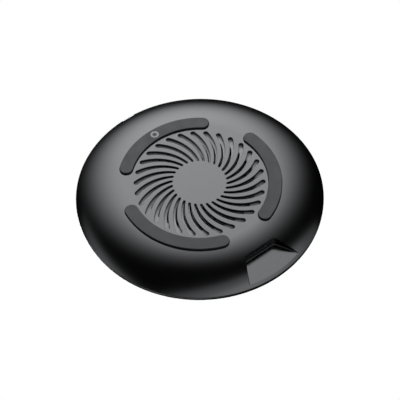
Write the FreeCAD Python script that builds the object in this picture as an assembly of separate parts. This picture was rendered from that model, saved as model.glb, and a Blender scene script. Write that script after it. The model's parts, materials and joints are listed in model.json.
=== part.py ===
"""Wireless charging pad with a cooling fan, as an assembly of separate solids.

The pad lies on three arc feet with its charging face up. +Z is up, and the origin is at the
middle of the plane that the feet stand on. The cable port is at the rear, +Y, in a flared bay
cut in the curved lower shell, and the status light is at the front, -Y. All sizes are in
millimetres. Each sub-part goes to parts/NODE.step.
"""

import FreeCAD, Part
import math
import os

from FreeCAD import Vector

# ---- outside -----------------------------------------------------------------------------
PAD_R = 50.0
UNDERSIDE_Z = 0.85         # the flat middle of the lower shell: the feet stand this far out of it
FLAT_R = 29.2              # radius of that flat
SHELL_RISE = 7.2           # from the flat to the end of the shell's curve
SHELL_R = PAD_R - 0.05     # radius there
LIP = 0.1                  # short upright edge above the curve
LIP_Z = UNDERSIDE_Z + SHELL_RISE + LIP
WALL = 1.5                 # lower shell's wall
FLOOR_Z = UNDERSIDE_Z + WALL
CURVE_R = ((SHELL_R - FLAT_R) ** 2 + SHELL_RISE**2) / (2 * SHELL_RISE)  # the curve is an arc
CURVE_Z = UNDERSIDE_Z + CURVE_R                                         # height of its centre
VENT_GAP = 0.45            # the slit all round, between the lower shell and the upper frame

# ---- air inlet ---------------------------------------------------------------------------
SLOTS = 30
SLOT_R = (11.25, 18.36, 25.35)     # inner end, middle and outer end of a slot's centre line
SLOT_DEG = (27.97, 14.97, 1.14)    # the angles there
SLOT_W = (1.05, 1.54, 2.02)        # and the slot's width there
SLOT_FLARE = 0.05                  # how much wider each side of a slot is at the underside

# ---- feet --------------------------------------------------------------------------------
FEET = {"foot_front": -90.0, "foot_right": 30.0, "foot_left": 150.0}
FOOT_MID_R, FOOT_W = 30.25, 5.5
FOOT_HALF_DEG = 39.6       # from a foot's middle to the centre of its round end
FOOT_EDGE = 0.3            # rounding of its lower edge
GROOVE_DEPTH = 0.6         # the groove that a foot lies in
GROOVE_CLEAR = 0.1
FOOT_TAPE_T, FOOT_TAPE_INSET = 0.15, 0.3

# ---- bay and port ------------------------------------------------------------------------
BAY_BACK_Y = 38.2          # the bay's back wall
BAY_HALF_W = 7.1           # half its width there
BAY_FLARE = 0.575          # what the half width gains for each millimetre outwards
BAY_ROOF_Z, BAY_ROOF_DROP = 7.25, 0.55         # the roof at its mouth, and its drop to the back
BAY_MOUTH_Y = 49.3         # where the roof stops sloping, just outside the shell
BAY_ROOF_ROUND = 0.4       # rounding between the roof and the walls
BAY_ROOF_T, BAY_WALL, BAY_CORNER = 0.65, 1.4, 1.6
PORT_W, PORT_H, PORT_L = 8.94, 3.25, 7.35      # a USB-C receptacle
PORT_METAL = 0.28
PORT_SET_BACK = 0.35       # from the bay's back wall to the port's mouth
PORT_CLEAR = 0.15
TONGUE_BASE_L, TONGUE_W, TONGUE_T, TONGUE_SET_BACK = 1.6, 6.7, 0.7, 0.7
CONTACTS, CONTACT_PITCH = 12, 0.5
CONTACT_W, CONTACT_T, CONTACT_L, CONTACT_SET_BACK = 0.26, 0.07, 3.5, 1.1

# ---- upper frame and charging face -------------------------------------------------------
FRAME_UNDER_Z = LIP_Z + VENT_GAP
RIM_BREAK = 0.2            # chamfer under the rim
RIM_IN_R, WEB_OUT_R = 43.3, 42.5
WEB_Z, WEB_T = 7.9, 0.8    # the web carries the ferrite and the coil
WEB_HOLE_R = 20.0
EDGE_Z = 9.45              # top of the rim's upright side, where its crown begins
EDGE_ROUND, CROWN_R = 1.0, 20.0    # the crown: a tight rounding, then a long gentle arc
EDGE_TURN = math.radians(45)       # the normal's elevation where one gives way to the other
LEDGE_Z, LEDGE_IN_R = 10.65, 44.5
PANEL_R, PANEL_T, PANEL_CLEAR, PANEL_EDGE = 46.9, 1.2, 0.15, 0.15
PANEL_TAPE_T, PANEL_TAPE_R = 0.15, (44.8, 46.6)
PANEL_Z = LEDGE_Z + PANEL_TAPE_T
TOP_Z = PANEL_Z + PANEL_T
GRIP_R = (33.8, 36.2)
GRIP_DEPTH, GRIP_PROUD, GRIP_ROUND = 0.3, 0.4, 0.3

# ---- housing screws ----------------------------------------------------------------------
SCREW_DEG = 26.0           # a screw's angle either side of each foot's middle
SCREW_R, SCREW_CLEAR, PILOT_CLEAR = 0.95, 0.1, 0.02
HEAD_R, HEAD_H, HEAD_CLEAR = 1.9, 0.95, 0.2
SEAT_Z = 2.5               # what the heads pull against
BOSS_R, BOSS_TOP_Z = 2.7, 3.4      # the shell's bosses, and where the frame's posts meet them
POST_R = 2.4
PILOT_END_Z = WEB_Z + 0.4
SCREW_TIP_Z = WEB_Z - 0.6

# ---- board -------------------------------------------------------------------------------
BOARD_Z, BOARD_T = 6.1, 1.0
BOARD_TOP = BOARD_Z + BOARD_T
BOARD_R = (33.5, 43.5)
TAB_HALF_W, TAB_Y = 15.0, (29.6, 36.4)         # the board's tab, which carries the port
BOARD_GAP = 0.35           # between the board and the walls and posts that it goes round
BOARD_SCREW_DEG, BOARD_SCREW_R = (-62.0, 20.0, 160.0, 242.0), 41.2
BOARD_HOLE_R, BOARD_POST_R, BOARD_PILOT_R = 0.9, 1.7, 0.62
SMALL_HEAD_R, SMALL_HEAD_H, SMALL_SCREW_R = 1.2, 0.6, 0.6
SMALL_TIP_Z = WEB_Z + 0.2
PORT_Z = BOARD_Z - PORT_H / 2
PORT_MOUTH_Y = BAY_BACK_Y - PORT_SET_BACK
LAMP_X, LAMP_Y, LAMP_L, LAMP_W, LAMP_H = 1.6, -42.0, 1.6, 0.8, 0.6

# Components: height, length across the radius, width along it, radii, angles.
COMPONENTS_ON_TOP = {
    "controller_chip": (0.7, 5.0, 5.0, (38.5,), (-100.0,)),
    "driver_chips": (0.7, 3.0, 3.0, (38.6,), (-48.0, -40.0, -20.5, 4.0)),
    "ceramic_capacitors": (0.65, 0.8, 1.6, (36.4, 39.6), (-110.0, -107.0, 28.0, 31.0, 34.0, 150.0, 153.0)),
    "chip_resistors": (0.4, 0.6, 1.2, (36.0, 38.6, 41.2), (-131.0, -133.5, -136.0, 188.0, 190.5, 193.0)),
    "crystal": (0.65, 3.2, 2.5, (37.6,), (-87.0,)),
}
COMPONENTS_BELOW = {
    "resonant_capacitors": (1.8, 2.6, 4.6, (37.0,), (-52.0, -46.5, -41.0, -35.5)),
    "filter_inductor": (1.8, 5.4, 5.4, (36.6,), (40.0,)),
}

# ---- light guide -------------------------------------------------------------------------
WINDOW_HALF_W, WINDOW_Z = 2.8, 7.55     # the window reaches from here up to the lip
GUIDE_CLEAR = 0.05
FLANGE_HALF_W, FLANGE_Y, FLANGE_Z = 3.8, (-45.1, -44.2), (6.9, 8.0)

# ---- coil --------------------------------------------------------------------------------
FERRITE_R, FERRITE_T, FERRITE_HOLE_R = 25.5, 0.8, 2.5
FERRITE_Z = WEB_Z + WEB_T
FENCE_CLEAR, FENCE_T = 0.2, 0.8
COIL_TAPE_T, COIL_TAPE_INSET = 0.1, 0.6
COIL_Z = FERRITE_Z + FERRITE_T + COIL_TAPE_T
COIL_TURNS, COIL_PITCH, COIL_H, TURN_BULGE = 12, 1.1, 0.95, 0.12
COIL_IN_R = 10.3
COIL_OUT_R = COIL_IN_R + COIL_TURNS * COIL_PITCH
TAIL_DEG, TAIL_R, TAIL_BEND, TAIL_SPREAD = -30.0, 0.37, 0.9, 1.3
TAIL_START_R, TAIL_DROP_R, TAIL_END_R = COIL_OUT_R + 0.02, 29.7, 35.6
TAIL_LOW_Z = BOARD_TOP + 0.4
TAIL_HOLE_R, TAIL_HOLE_HALF_W = (28.0, 31.4), 2.4
BEAD_R, SLEEVE_R = 0.85, 0.5
SENSOR_DEG, SENSOR_LEAD_R, SENSOR_BEND, SENSOR_SPREAD = -8.0, 0.2, 0.3, 0.45
SENSOR_TOP_Z, SENSOR_LOW_Z, SENSOR_END_R = WEB_Z + 0.2, WEB_Z - 0.42, 35.0

# ---- fan ---------------------------------------------------------------------------------
RUN_GAP = 0.3              # between what turns and what doesn't
FAN_TOP = FLOOR_Z + 4.8
FAN_RING_R, FAN_RING_T = (22.6, 27.4), 0.8
GUARD_R, GUARD_T = (9.6, 22.8), 0.3    # the plate over the slots, with a narrow slit in each
SLIT_R, SLIT_DEG, SLIT_W = (11.36, 16.85, 23.62), (26.3, 16.56, 2.48), (0.55, 0.65, 0.66)
BASE_R, BASE_T = 9.5, 0.6
BASE_Z = FAN_TOP - BASE_T
PILLAR_R, PILLAR_HALF_W, ARM_HALF_W = (24.2, 26.9), 3.0, 1.5
EAR_Z, EAR_T, EAR_R, EAR_HOLE_R, EAR_PILOT_R = 4.6, 0.8, 2.2, 0.95, 0.82
FAN_HEAD_R, FAN_HEAD_H, FAN_SCREW_R, FAN_SCREW_BITE = 1.7, 0.8, 0.8, 0.2
HUB_R, HUB_WALL, HUB_H, HUB_FLOOR = 11.0, 0.8, 3.3, 0.5
HUB_Z = FLOOR_Z + GUARD_T + RUN_GAP
BLADES = 11
BLADE_R, BLADE_DEG, BLADE_W = (HUB_R, 16.0, 21.5), (0.0, 17.0, 27.0), (1.0, 0.75, 0.6)
BLADE_LOW, BLADE_HIGH = 0.25, 3.1      # above the hub's underside
YOKE_T, MAGNET_T, MAGNET_LIFT = 0.5, 1.2, 0.1
CUP_Z, CUP_TOP_Z = HUB_Z + HUB_FLOOR, HUB_Z + BLADE_HIGH
YOKE_R = HUB_R - HUB_WALL
SHAFT_R, BEARING_CLEAR, BEARING_R, TUBE_R = 0.75, 0.02, 1.9, 2.9
TUBE_Z = CUP_Z + RUN_GAP
SHAFT_TOP_Z = BASE_Z - RUN_GAP
CLIP_R, CLIP_T, CLIP_SLIT = 1.55, 0.2, 0.6
CLIP_Z = SHAFT_TOP_Z - 0.25
POLES = 6
CORE_Z, CORE_T, CORE_R = FLOOR_Z + 1.95, 1.2, 4.1
TOOTH_HALF_W, SHOE_R, SHOE_HALF_DEG = 0.8, (7.0, 8.1), 22.0
WINDING_R, WINDING_HALF_W, WINDING_OVER, WINDING_ROUND = (4.35, 6.85), 1.35, 0.5, 0.4
FAN_BOARD_R, FAN_BOARD_T = (3.3, 8.0), 0.5
PLUG_DEG = 205.0
SOCKET_MID_R, SOCKET_L, SOCKET_W, SOCKET_H = 36.6, 5.6, 4.2, 1.9
PLUG_MID_R, PLUG_L, PLUG_W, PLUG_H, PLUG_DROP = 35.4, 4.2, 2.9, 1.1, 1.55
MOUTH_CLEAR = 0.05         # round the plug, in the socket
LEAD_R, LEAD_BEND, LEAD_SPREAD = 0.33, 0.6, 0.75
LEAD_TOP_Z, LEAD_LOW_Z = FAN_TOP + 0.36, BOARD_Z - 1.0
LEAD_RUN_R = (7.0, 29.6, 31.9)         # where the leads start, dip, and level out

BEYOND = 5.0               # how far a cutting tool runs past what it cuts
SLACK = 0.01               # for telling whether an edge lies at a given place
UP = Vector(0, 0, 1)


# ---- helpers -----------------------------------------------------------------------------
def polar(r, deg):
    return Vector(r * math.cos(math.radians(deg)), r * math.sin(math.radians(deg)), 0)


def turned(shape, deg):
    """A copy of shape, turned about the pad's axis."""
    copy = shape.copy()
    copy.rotate(Vector(), UP, deg)
    return copy


def disc(r, z0, z1, at=Vector()):
    return Part.makeCylinder(r, z1 - z0, Vector(at.x, at.y, z0))


def hole(r, z1, at=Vector()):
    """A tool that cuts from below the pad up to z1."""
    return disc(r, -BEYOND, z1, at)


def ring(radii, z0, z1):
    return disc(radii[1], z0, z1).cut(hole(radii[0], z1 + BEYOND))


def block(x, y, z):
    """A box from three pairs of limits."""
    return Part.makeBox(x[1] - x[0], y[1] - y[0], z[1] - z[0], Vector(x[0], y[0], z[0]))


def line(a, b):
    return Part.LineSegment(a, b).toShape()


def arc(a, middle, b):
    return Part.Arc(a, middle, b).toShape()


def chain(points):
    """The straight edges through points."""
    return [line(a, b) for a, b in zip(points, points[1:])]


def spun(edges):
    """A solid of revolution about the pad's axis, from a closed outline in the XZ plane."""
    return Part.Face(Part.Wire(edges)).revolve(Vector(), UP, 360)


def prism(edges, z0, z1):
    """A closed outline in the XY plane, raised from z0 to z1."""
    face = Part.Face(Part.Wire(edges))
    face.translate(Vector(0, 0, z0))
    return face.extrude(Vector(0, 0, z1 - z0))


def merged(shapes):
    return shapes[0].fuse(shapes[1:]).removeSplitter()


def group(shapes):
    return Part.makeCompound(list(shapes))


def edges_at(shape, z):
    """The edges that lie in the plane at height z."""
    return [e for e in shape.Edges if abs(e.BoundBox.ZMin - z) + abs(e.BoundBox.ZMax - z) < SLACK]


def sliver(radii, angles, widths):
    """The outline of a curved slot or blade, from three points of its centre line."""
    points = [polar(r, deg) for r, deg in zip(radii, angles)]
    ways = [(points[1] - points[0]), (points[2] - points[0]), (points[2] - points[1])]
    for way in ways:
        way.normalize()
    left = [p + UP.cross(way) * (w / 2) for p, way, w in zip(points, ways, widths)]
    right = [p - UP.cross(way) * (w / 2) for p, way, w in zip(points, ways, widths)]
    first_tip = points[0] - ways[0] * (widths[0] / 2)
    last_tip = points[2] + ways[2] * (widths[2] / 2)
    return [
        arc(*left),
        arc(left[2], last_tip, right[2]),
        arc(*right[::-1]),
        arc(right[0], first_tip, left[0]),
    ]


def bow(width, z0, z1):
    """A foot's outline, an arc-shaped bar with round ends centred on +X, raised from z0 to z1."""
    r_in, r_out = FOOT_MID_R - width / 2, FOOT_MID_R + width / 2
    half = FOOT_HALF_DEG
    end = half + math.degrees(width / 2 / FOOT_MID_R)
    edges = [
        arc(polar(r_out, -half), polar(r_out, 0), polar(r_out, half)),
        arc(polar(r_out, half), polar(FOOT_MID_R, end), polar(r_in, half)),
        arc(polar(r_in, half), polar(r_in, 0), polar(r_in, -half)),
        arc(polar(r_in, -half), polar(FOOT_MID_R, -end), polar(r_out, -half)),
    ]
    return prism(edges, z0, z1)


def stadium(inset, y0, y1):
    """A bar along Y with the port's round-sided section, inset all round."""
    r = PORT_H / 2 - inset
    flat = (PORT_W - PORT_H) / 2
    right, left = Vector(flat, y0, PORT_Z), Vector(-flat, y0, PORT_Z)
    up, out = Vector(0, 0, r), Vector(r, 0, 0)
    edges = [
        line(left + up, right + up),
        arc(right + up, right + out, right - up),
        line(right - up, left - up),
        arc(left - up, left - out, left + up),
    ]
    return Part.Face(Part.Wire(edges)).extrude(Vector(0, y1 - y0, 0))


def lead(points, radius, bend):
    """A round lead: straight runs joined by tangent arcs of radius bend."""
    edges, start = [], points[0]
    for before, corner, after in zip(points, points[1:], points[2:]):
        a, b = (before - corner).normalize(), (after - corner).normalize()
        half = a.getAngle(b) / 2
        p, q = corner + a * (bend / math.tan(half)), corner + b * (bend / math.tan(half))
        middle = corner + (a + b).normalize() * (bend / math.sin(half) - bend)
        edges += [line(start, p), arc(p, middle, q)]
        start = q
    edges.append(line(start, points[-1]))
    section = Part.Wire(Part.makeCircle(radius, points[0], points[1] - points[0]))
    return Part.Wire(edges).makePipeShell([section], True, False)


def lead_pair(route, spread, radius, bend, deg):
    """Two leads side by side along a route of radii and heights, turned to deg."""
    return group(
        turned(lead([Vector(r, side * spread, z) for r, z in route], radius, bend), deg)
        for side in (-1, 1)
    )


def chip(r, deg, length, width, z0, z1):
    """A block on the ring board, length across the radius and width along it."""
    return turned(block((r - width / 2, r + width / 2), (-length / 2, length / 2), (z0, z1)), deg)


def screw(at, seat_z, tip_z, head_r, head_h, shaft_r):
    """A cross-head screw, with its head at seat_z on the side away from its tip."""
    way = math.copysign(1, tip_z - seat_z)
    face_z = seat_z - way * head_h
    cross_z = sorted((face_z, face_z + way * head_h / 2))
    arm, half = head_r * 0.55, head_r * 0.16
    head, shaft = sorted((seat_z, face_z)), sorted((seat_z, tip_z))
    body = merged([disc(head_r, *head, at), disc(shaft_r, *shaft, at)])
    cross = [block((-arm, arm), (-half, half), cross_z), block((-half, half), (-arm, arm), cross_z)]
    for bar in cross:
        bar.translate(Vector(at.x, at.y, 0))
    return body.cut(cross)


HOUSING_SCREWS_AT = [
    polar(FOOT_MID_R, middle + side * SCREW_DEG) for middle in FEET.values() for side in (-1, 1)
]
FAN_SCREWS_AT = [polar(FOOT_MID_R, deg) for deg in FEET.values()]
BOARD_SCREWS_AT = [polar(BOARD_SCREW_R, deg) for deg in BOARD_SCREW_DEG]


# ---- lower shell and feet ----------------------------------------------------------------
def bowl(inset, top_z):
    """The solid inside the shell's curve, or inset from it, up to top_z."""
    radius = CURVE_R - inset
    floor_z, end_z = UNDERSIDE_Z + inset, LIP_Z - LIP
    end_r = FLAT_R + math.sqrt(radius**2 - (CURVE_Z - end_z) ** 2)
    middle_r = (FLAT_R + end_r) / 2
    middle = Vector(middle_r, 0, CURVE_Z - math.sqrt(radius**2 - (middle_r - FLAT_R) ** 2))
    start, end = Vector(FLAT_R, 0, floor_z), Vector(end_r, 0, end_z)
    rest = [end, Vector(end_r, 0, top_z), Vector(0, 0, top_z), Vector(0, 0, floor_z), start]
    return spun([arc(start, middle, end)] + chain(rest))


def bay(grow, z1, corner):
    """The flared bay up to z1, grown on three sides, with its two back corners rounded."""
    back, far = BAY_BACK_Y - grow, PAD_R + BEYOND
    half_back = BAY_HALF_W + grow * (math.hypot(1, BAY_FLARE) - BAY_FLARE)
    half_far = half_back + BAY_FLARE * (far - back)
    left, right = Vector(-half_back, back, 0), Vector(half_back, back, 0)
    solid = prism(chain([left, right, Vector(half_far, far, 0), Vector(-half_far, far, 0), left]), 0, z1)
    corners = [
        e for e in solid.Edges
        if e.BoundBox.ZLength > z1 / 2 and e.CenterOfMass.y < (back + far) / 2
    ]
    return solid.makeFillet(corner, corners)


def bay_space():
    """What the bay takes out of the shell. Its roof slopes, and is rounded into the walls."""
    inner, slope = BAY_BACK_Y - BEYOND, BAY_ROOF_DROP / (BAY_MOUTH_Y - BAY_BACK_Y)
    low = Vector(-PAD_R, inner, BAY_ROOF_Z - slope * (BAY_MOUTH_Y - inner))
    high, mouth = Vector(-PAD_R, inner, BAY_ROOF_Z), Vector(-PAD_R, BAY_MOUTH_Y, BAY_ROOF_Z)
    wedge = Part.Face(Part.Wire(chain([low, mouth, high, low]))).extrude(Vector(2 * PAD_R, 0, 0))
    space = bay(0.0, BAY_ROOF_Z, BAY_CORNER).cut(wedge)
    above_walls = [
        e for e in space.Edges
        if e.BoundBox.ZMin > BAY_ROOF_Z - BAY_ROOF_DROP - SLACK and e.BoundBox.YMin < BAY_MOUTH_Y - SLACK
    ]
    return space.makeFillet(BAY_ROOF_ROUND, above_walls)


def slot():
    """A swirl slot through the shell's flat, slightly wider at the underside than inside."""
    outlines = []
    for flare, z in ((SLOT_FLARE, UNDERSIDE_Z), (0.0, FLOOR_Z)):
        outline = Part.Wire(sliver(SLOT_R, SLOT_DEG, [w + 2 * flare for w in SLOT_W]))
        outline.translate(Vector(0, 0, z))
        outlines.append(outline)
    return Part.makeLoft(outlines, True, True)


def window_bar(clear, z1):
    half = WINDOW_HALF_W + clear
    return block((-half, half), (-PAD_R - BEYOND, FLANGE_Y[1]), (WINDOW_Z - clear, z1))


def lower_shell():
    outside = bowl(0.0, LIP_Z)
    bay_walls = bay(BAY_WALL, BAY_ROOF_Z + BAY_ROOF_T, BAY_CORNER + BAY_WALL).common(outside)
    bosses = [disc(BOSS_R, FLOOR_Z, BOSS_TOP_Z, at) for at in HOUSING_SCREWS_AT]
    bosses += [disc(EAR_R, FLOOR_Z, EAR_Z, at) for at in FAN_SCREWS_AT]
    shell = merged([outside.cut(bowl(WALL, LIP_Z + BEYOND)), bay_walls, *bosses])

    groove = bow(FOOT_W + 2 * GROOVE_CLEAR, 0, UNDERSIDE_Z + GROOVE_DEPTH)
    tools = [bay_space(), window_bar(GUIDE_CLEAR, LIP_Z + BEYOND)]
    tools.append(stadium(-PORT_CLEAR, PORT_MOUTH_Y - PORT_L / 2, BAY_BACK_Y + BEYOND))
    tools += [turned(groove, deg) for deg in FEET.values()]
    tools += [hole(HEAD_R + HEAD_CLEAR, SEAT_Z, at) for at in HOUSING_SCREWS_AT]
    tools += [hole(SCREW_R + SCREW_CLEAR, BOSS_TOP_Z + BEYOND, at) for at in HOUSING_SCREWS_AT]
    tools += [disc(EAR_PILOT_R, FLOOR_Z - FAN_SCREW_BITE, EAR_Z + BEYOND, at) for at in FAN_SCREWS_AT]
    tools += [turned(slot(), k * 360 / SLOTS) for k in range(SLOTS)]
    return shell.cut(tools)


def foot(deg):
    bar = bow(FOOT_W, 0, UNDERSIDE_Z + GROOVE_DEPTH - FOOT_TAPE_T)
    return turned(bar.makeFillet(FOOT_EDGE, edges_at(bar, 0)), deg)


def foot_tapes():
    """The adhesive under each foot, with holes that leave the screw heads free."""
    top = UNDERSIDE_Z + GROOVE_DEPTH
    tape = bow(FOOT_W - 2 * FOOT_TAPE_INSET, top - FOOT_TAPE_T, top)
    heads = [hole(HEAD_R + HEAD_CLEAR, top, polar(FOOT_MID_R, side * SCREW_DEG)) for side in (-1, 1)]
    tape = tape.cut(heads)
    return group(turned(tape, deg) for deg in FEET.values())


def housing_screws():
    return group(screw(at, SEAT_Z, SCREW_TIP_Z, HEAD_R, HEAD_H, SCREW_R) for at in HOUSING_SCREWS_AT)


def light_guide():
    """A clear bar that ends in a window in the shell's lip, with a flange inside the shell."""
    flange = block((-FLANGE_HALF_W, FLANGE_HALF_W), FLANGE_Y, FLANGE_Z)
    return merged([window_bar(0.0, LIP_Z).common(bowl(0.0, LIP_Z)), flange])


# ---- upper frame and charging face -------------------------------------------------------
def crown():
    """The rim's rounded edge and crown, and the point where they reach the top."""
    def on_arc(centre, radius, turn):
        return centre + Vector(math.cos(turn), 0, math.sin(turn)) * radius

    edge_centre = Vector(PAD_R - EDGE_ROUND, 0, EDGE_Z)
    joint = on_arc(edge_centre, EDGE_ROUND, EDGE_TURN)
    crown_centre = on_arc(joint, -CROWN_R, EDGE_TURN)
    end_turn = math.asin((TOP_Z - crown_centre.z) / CROWN_R)
    end = on_arc(crown_centre, CROWN_R, end_turn)
    edges = [
        arc(Vector(PAD_R, 0, EDGE_Z), on_arc(edge_centre, EDGE_ROUND, EDGE_TURN / 2), joint),
        arc(joint, on_arc(crown_centre, CROWN_R, (EDGE_TURN + end_turn) / 2), end),
    ]
    return edges, end


def upper_frame():
    crown_edges, crown_end = crown()
    web_top = WEB_Z + WEB_T
    low_side = [
        Vector(0, 0, WEB_Z),
        Vector(WEB_OUT_R, 0, WEB_Z),
        Vector(RIM_IN_R, 0, FRAME_UNDER_Z),
        Vector(PAD_R - RIM_BREAK, 0, FRAME_UNDER_Z),
        Vector(PAD_R, 0, FRAME_UNDER_Z + RIM_BREAK),
        Vector(PAD_R, 0, EDGE_Z),
    ]
    high_side = [
        crown_end,
        Vector(PANEL_R + PANEL_CLEAR, 0, TOP_Z),
        Vector(PANEL_R + PANEL_CLEAR, 0, LEDGE_Z),
        Vector(LEDGE_IN_R, 0, LEDGE_Z),
        Vector(LEDGE_IN_R, 0, web_top),
        Vector(0, 0, web_top),
        low_side[0],
    ]
    fence_in = FERRITE_R + FENCE_CLEAR
    pieces = [spun(chain(low_side) + crown_edges + chain(high_side))]
    pieces.append(ring((fence_in, fence_in + FENCE_T), web_top, web_top + FERRITE_T))
    pieces += [disc(POST_R, BOSS_TOP_Z, WEB_Z, at) for at in HOUSING_SCREWS_AT]
    pieces += [disc(BOARD_POST_R, BOARD_TOP, WEB_Z, at) for at in BOARD_SCREWS_AT]

    half = TAIL_HOLE_HALF_W
    tail_hole = block(TAIL_HOLE_R, (-half, half), (WEB_Z - BEYOND, web_top + BEYOND))
    tools = [hole(WEB_HOLE_R, web_top + BEYOND), turned(tail_hole, TAIL_DEG)]
    tools += [hole(SCREW_R + PILOT_CLEAR, PILOT_END_Z, at) for at in HOUSING_SCREWS_AT]
    tools += [hole(BOARD_PILOT_R, PILOT_END_Z, at) for at in BOARD_SCREWS_AT]
    return merged(pieces).cut(tools)


def top_panel():
    panel = disc(PANEL_R, PANEL_Z, TOP_Z)
    panel = panel.makeChamfer(PANEL_EDGE, edges_at(panel, TOP_Z))
    return panel.cut(ring(GRIP_R, TOP_Z - GRIP_DEPTH, TOP_Z + BEYOND))


def panel_tape():
    return ring(PANEL_TAPE_R, LEDGE_Z, PANEL_Z)


def grip_ring():
    """The soft ring that a phone lies on, bedded in the panel."""
    top = TOP_Z + GRIP_PROUD
    band = ring(GRIP_R, TOP_Z - GRIP_DEPTH, top)
    return band.makeFillet(GRIP_ROUND, edges_at(band, top))


# ---- coil --------------------------------------------------------------------------------
def ferrite_sheet():
    return ring((FERRITE_HOLE_R, FERRITE_R), FERRITE_Z, FERRITE_Z + FERRITE_T)


def coil_tape():
    return ring((COIL_IN_R + COIL_TAPE_INSET, COIL_OUT_R - COIL_TAPE_INSET), COIL_Z - COIL_TAPE_T, COIL_Z)


def charging_coil():
    """The flat winding: a ring whose two faces swell at each turn."""
    def swell(k, z, bulge):
        """One turn's arc in a face at height z."""
        r = COIL_IN_R + k * COIL_PITCH
        middle = Vector(r + COIL_PITCH / 2, 0, z + bulge)
        return arc(Vector(r, 0, z), middle, Vector(r + COIL_PITCH, 0, z))

    low, high = COIL_Z + TURN_BULGE, COIL_Z + COIL_H - TURN_BULGE
    edges = [swell(k, low, -TURN_BULGE) for k in range(COIL_TURNS)]
    edges.append(line(Vector(COIL_OUT_R, 0, low), Vector(COIL_OUT_R, 0, high)))
    edges += [swell(k, high, TURN_BULGE) for k in reversed(range(COIL_TURNS))]
    edges.append(line(Vector(COIL_IN_R, 0, high), Vector(COIL_IN_R, 0, low)))
    return spun(edges)


def coil_leads():
    """The two tails of the winding, out over the ferrite and down through the web to the board."""
    high = COIL_Z + COIL_H / 2
    route = [
        (TAIL_START_R, high),
        (TAIL_DROP_R, high),
        (TAIL_DROP_R, TAIL_LOW_Z),
        (TAIL_END_R, TAIL_LOW_Z),
    ]
    return lead_pair(route, TAIL_SPREAD, TAIL_R, TAIL_BEND, TAIL_DEG)


def thermistor():
    """A glass bead in the coil's middle, on its sleeve."""
    return merged([Part.makeSphere(BEAD_R, Vector(0, 0, COIL_Z)), disc(SLEEVE_R, SENSOR_TOP_Z, COIL_Z)])


def thermistor_leads():
    route = [(0, SENSOR_TOP_Z), (0, SENSOR_LOW_Z), (SENSOR_END_R, SENSOR_LOW_Z)]
    return lead_pair(route, SENSOR_SPREAD, SENSOR_LEAD_R, SENSOR_BEND, SENSOR_DEG)


# ---- board -------------------------------------------------------------------------------
def main_board():
    """A ring that goes round the fan, the posts and the bay, with a tab for the port."""
    top = BOARD_TOP + BEYOND
    tab = block((-TAB_HALF_W, TAB_HALF_W), TAB_Y, (BOARD_Z, BOARD_TOP))
    tools = [bay(BAY_WALL + BOARD_GAP, top, BAY_CORNER)]
    tools += [hole(POST_R + BOARD_GAP, top, at) for at in HOUSING_SCREWS_AT]
    tools += [hole(BOARD_HOLE_R, top, at) for at in BOARD_SCREWS_AT]
    return merged([ring(BOARD_R, BOARD_Z, BOARD_TOP), tab]).cut(tools)


def board_screws():
    return group(
        screw(at, BOARD_Z, SMALL_TIP_Z, SMALL_HEAD_R, SMALL_HEAD_H, SMALL_SCREW_R)
        for at in BOARD_SCREWS_AT
    )


def components(size, on_top):
    """A kind of component, at each of its places on the board's upper or lower side."""
    height, length, width, radii, angles = size
    z = (BOARD_TOP, BOARD_TOP + height) if on_top else (BOARD_Z - height, BOARD_Z)
    return group(chip(r, deg, length, width, *z) for deg in angles for r in radii)


def port_shell():
    back = PORT_MOUTH_Y - PORT_L
    return stadium(0.0, back, PORT_MOUTH_Y).cut(
        stadium(PORT_METAL, back + PORT_METAL, PORT_MOUTH_Y + BEYOND)
    )


def port_tongue():
    back = PORT_MOUTH_Y - PORT_L + PORT_METAL
    blade_y = (back + TONGUE_BASE_L, PORT_MOUTH_Y - TONGUE_SET_BACK)
    half_w, half_t = TONGUE_W / 2, TONGUE_T / 2
    blade = block((-half_w, half_w), blade_y, (PORT_Z - half_t, PORT_Z + half_t))
    return merged([stadium(PORT_METAL, back, back + TONGUE_BASE_L), blade])


def port_contacts():
    """Two rows of contacts, on the two faces of the port's tongue."""
    front = PORT_MOUTH_Y - CONTACT_SET_BACK
    face, tip = TONGUE_T / 2, TONGUE_T / 2 + CONTACT_T
    pads = []
    for k in range(CONTACTS):
        x = (k - (CONTACTS - 1) / 2) * CONTACT_PITCH
        for z in ((PORT_Z + face, PORT_Z + tip), (PORT_Z - tip, PORT_Z - face)):
            pads.append(block((x - CONTACT_W / 2, x + CONTACT_W / 2), (front - CONTACT_L, front), z))
    return group(pads)


def status_lamps():
    half_l, half_w = LAMP_L / 2, LAMP_W / 2
    y, z = (LAMP_Y - half_w, LAMP_Y + half_w), (BOARD_TOP, BOARD_TOP + LAMP_H)
    return group(block((x - half_l, x + half_l), y, z) for x in (-LAMP_X, LAMP_X))


def fan_plug_block(clear):
    """The fan's plug under the board, or the space for it in its socket."""
    low = BOARD_Z - PLUG_DROP
    length, width = PLUG_L + 2 * clear, PLUG_W + 2 * clear
    return chip(PLUG_MID_R, PLUG_DEG, length, width, low - clear, low + PLUG_H + clear)


def fan_socket():
    body = chip(SOCKET_MID_R, PLUG_DEG, SOCKET_L, SOCKET_W, BOARD_Z - SOCKET_H, BOARD_Z)
    return body.cut(fan_plug_block(MOUTH_CLEAR))


def fan_plug():
    return fan_plug_block(0.0)


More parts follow.
